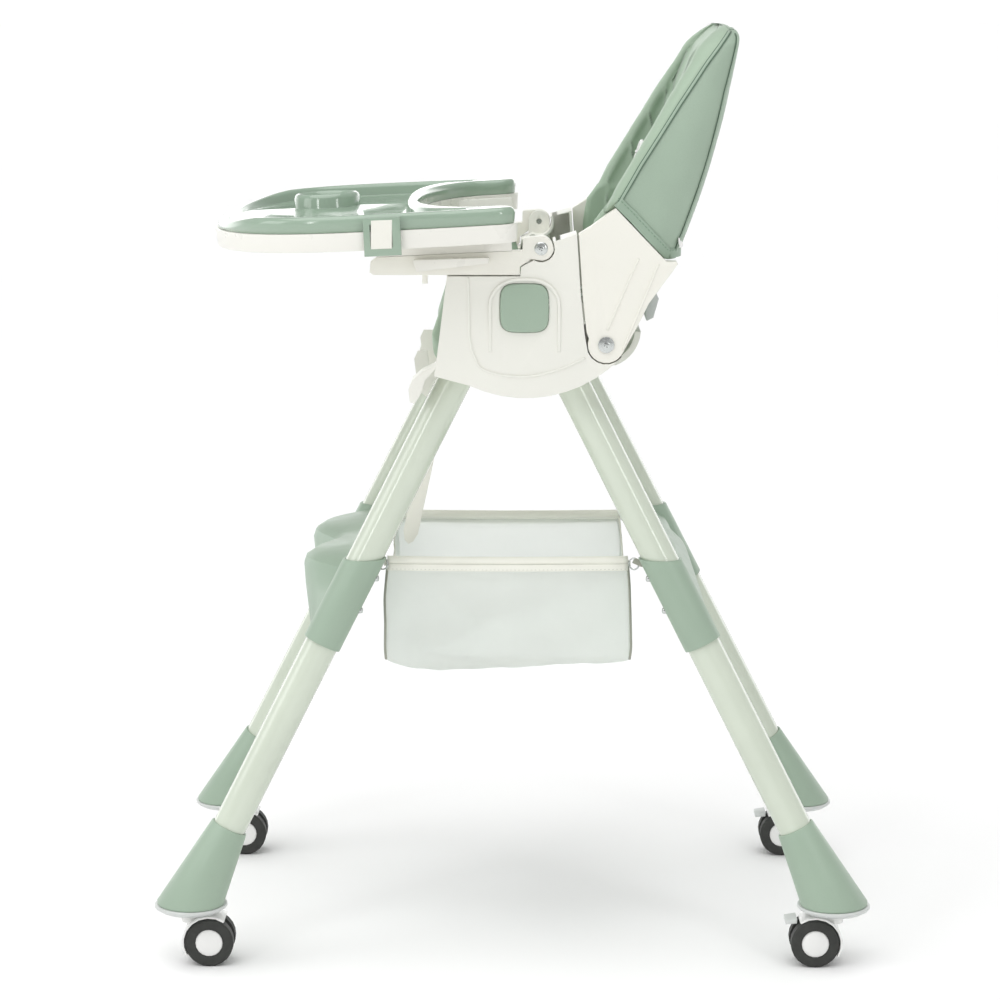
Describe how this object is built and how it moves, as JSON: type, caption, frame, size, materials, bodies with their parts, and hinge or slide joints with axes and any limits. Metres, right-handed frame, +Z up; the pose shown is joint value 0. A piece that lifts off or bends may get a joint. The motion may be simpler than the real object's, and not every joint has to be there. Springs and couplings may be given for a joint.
{
  "type": "baby high chair",
  "caption": "Baby high chair on casters with splayed tube legs, padded reclining seat, swing-up sliding tray, leg rest and fabric storage basket.",
  "frame": {"origin": "on the floor, at the bottom centre of the chair's box", "axes": "+Z up; the child faces -Y; +X is the child's left"},
  "size_m": [0.5602, 0.8104, 1.0495],
  "materials": {
    "sage_plastic": "satin moulded",
    "cream_plastic": "satin moulded",
    "white_plastic": "satin moulded",
    "leg_enamel": "gloss enamel",
    "tyre_rubber": "matt",
    "sage_leather": "coated synthetic leather over foam",
    "mesh_fabric": "thin woven",
    "steel": "zinc plated",
    "grey_plastic": "matt"
  },
  "bodies": {
    "chair": {"leg_upper_front_left": "leg_enamel", "leg_lower_front_left": "leg_enamel", "foot_cone_front_left": "sage_plastic", "foot_rim_front_left": "white_plastic", "leg_upper_front_right": "leg_enamel", "leg_lower_front_right": "leg_enamel", "foot_cone_front_right": "sage_plastic", "foot_rim_front_right": "white_plastic", "leg_upper_rear_left": "leg_enamel", "leg_lower_rear_left": "leg_enamel", "foot_cone_rear_left": "sage_plastic", "foot_rim_rear_left": "white_plastic", "leg_upper_rear_right": "leg_enamel", "leg_lower_rear_right": "leg_enamel", "foot_cone_rear_right": "sage_plastic", "foot_rim_rear_right": "white_plastic", "side_housing_left": "cream_plastic", "arm_screw_left": "steel", "recline_screw_left": "steel", "basket_rod_left": "steel", "side_housing_right": "cream_plastic", "arm_screw_right": "steel", "recline_screw_right": "steel", "basket_rod_right": "steel", "cross_panel_front": "sage_plastic", "cross_panel_rear": "sage_plastic", "seat_pan": "cream_plastic", "seat_cushion": "sage_leather", "basket": "mesh_fabric", "harness_buckle": "grey_plastic"},
    "caster_front_left": {"caster_hood_front_left": "white_plastic"},
    "wheels_front_left": {"wheel_pair_front_left": "white_plastic", "tyre_outer_front_left": "tyre_rubber", "tyre_inner_front_left": "tyre_rubber"},
    "caster_front_right": {"caster_hood_front_right": "white_plastic"},
    "wheels_front_right": {"wheel_pair_front_right": "white_plastic", "tyre_outer_front_right": "tyre_rubber", "tyre_inner_front_right": "tyre_rubber"},
    "caster_rear_left": {"caster_hood_rear_left": "white_plastic"},
    "wheels_rear_left": {"wheel_pair_rear_left": "white_plastic", "tyre_outer_rear_left": "tyre_rubber", "tyre_inner_rear_left": "tyre_rubber"},
    "caster_rear_right": {"caster_hood_rear_right": "white_plastic"},
    "wheels_rear_right": {"wheel_pair_rear_right": "white_plastic", "tyre_outer_rear_right": "tyre_rubber", "tyre_inner_rear_right": "tyre_rubber"},
    "brake_rear_left": {"brake_lever_rear_left": "grey_plastic"},
    "button_left": {"side_button_left": "sage_plastic"},
    "trigger_left": {"tray_trigger_left": "white_plastic"},
    "brake_rear_right": {"brake_lever_rear_right": "grey_plastic"},
    "button_right": {"side_button_right": "sage_plastic"},
    "trigger_right": {"tray_trigger_right": "white_plastic"},
    "arms": {"tray_arm_left": "cream_plastic", "tray_arm_right": "cream_plastic"},
    "tray": {"tray_base": "white_plastic"},
    "liner": {"tray_insert": "sage_plastic"},
    "backrest": {"backrest_shell": "cream_plastic", "back_cover": "sage_leather"},
    "handle": {"recline_handle": "grey_plastic"},
    "leg_rest": {"footrest": "cream_plastic"}
  },
  "joints": [
    {"name": "arm_swing", "type": "hinge", "parent": "chair", "child": "arms", "pos_m": [0, 0.0314, 0.81], "axis": [-1, 0, 0], "range_deg": [0, 80]},
    {"name": "tray_slide", "type": "slide", "parent": "arms", "child": "tray", "axis": [0, -0.9989, -0.0471], "range_m": [0, 0.06]},
    {"name": "liner_lift", "type": "slide", "parent": "tray", "child": "liner", "axis": [0, -0.0471, 0.9989], "range_m": [0, 0.05]},
    {"name": "trigger_squeeze_left", "type": "hinge", "parent": "tray", "child": "trigger_left", "pos_m": [0.217, -0.03, 0.7985], "axis": [-1, 0, 0], "range_deg": [0, 7], "stiffness_Nm_per_rad": 0.6},
    {"name": "button_press_left", "type": "slide", "parent": "chair", "child": "button_left", "axis": [-1, 0, 0], "range_m": [0, 0.004], "stiffness_N_per_m": 800},
    {"name": "trigger_squeeze_right", "type": "hinge", "parent": "tray", "child": "trigger_right", "pos_m": [-0.217, -0.03, 0.7985], "axis": [-1, 0, 0], "range_deg": [0, 7], "stiffness_Nm_per_rad": 0.6},
    {"name": "button_press_right", "type": "slide", "parent": "chair", "child": "button_right", "axis": [1, 0, 0], "range_m": [0, 0.004], "stiffness_N_per_m": 800},
    {"name": "back_recline", "type": "hinge", "parent": "chair", "child": "backrest", "pos_m": [0, 0.1033, 0.7039], "axis": [-1, 0, 0], "range_deg": [0, 28]},
    {"name": "handle_squeeze", "type": "hinge", "parent": "backrest", "child": "handle", "pos_m": [0, 0.15842, 0.745], "axis": [1, 0, 0], "range_deg": [0, 18], "stiffness_Nm_per_rad": 0.8},
    {"name": "leg_rest_swing", "type": "hinge", "parent": "chair", "child": "leg_rest", "pos_m": [0, -0.079, 0.65], "axis": [-1, 0, 0], "range_deg": [0, 60]},
    {"name": "caster_swivel_front_left", "type": "hinge", "parent": "chair", "child": "caster_front_left", "pos_m": [0.2225, -0.364, 0.062], "axis": [0, 0, 1], "continuous": true},
    {"name": "wheel_roll_front_left", "type": "hinge", "parent": "caster_front_left", "child": "wheels_front_left", "pos_m": [0.2225, -0.3425, 0.0275], "axis": [1, 0, 0], "continuous": true},
    {"name": "caster_swivel_front_right", "type": "hinge", "parent": "chair", "child": "caster_front_right", "pos_m": [-0.2225, -0.364, 0.062], "axis": [0, 0, 1], "continuous": true},
    {"name": "wheel_roll_front_right", "type": "hinge", "parent": "caster_front_right", "child": "wheels_front_right", "pos_m": [-0.2225, -0.3425, 0.0275], "axis": [1, 0, 0], "continuous": true},
    {"name": "caster_swivel_rear_left", "type": "hinge", "parent": "chair", "child": "caster_rear_left", "pos_m": [0.2225, 0.364, 0.062], "axis": [0, 0, 1], "continuous": true},
    {"name": "wheel_roll_rear_left", "type": "hinge", "parent": "caster_rear_left", "child": "wheels_rear_left", "pos_m": [0.2225, 0.3425, 0.0275], "axis": [1, 0, 0], "continuous": true},
    {"name": "caster_swivel_rear_right", "type": "hinge", "parent": "chair", "child": "caster_rear_right", "pos_m": [-0.2225, 0.364, 0.062], "axis": [0, 0, 1], "continuous": true},
    {"name": "wheel_roll_rear_right", "type": "hinge", "parent": "caster_rear_right", "child": "wheels_rear_right", "pos_m": [-0.2225, 0.3425, 0.0275], "axis": [1, 0, 0], "continuous": true},
    {"name": "brake_press_rear_left", "type": "hinge", "parent": "caster_rear_left", "child": "brake_rear_left", "pos_m": [0.2225, 0.319, 0.052], "axis": [1, 0, 0], "range_deg": [0, 15]},
    {"name": "brake_press_rear_right", "type": "hinge", "parent": "caster_rear_right", "child": "brake_rear_right", "pos_m": [-0.2225, 0.319, 0.052], "axis": [1, 0, 0], "range_deg": [0, 15]}
  ]
}
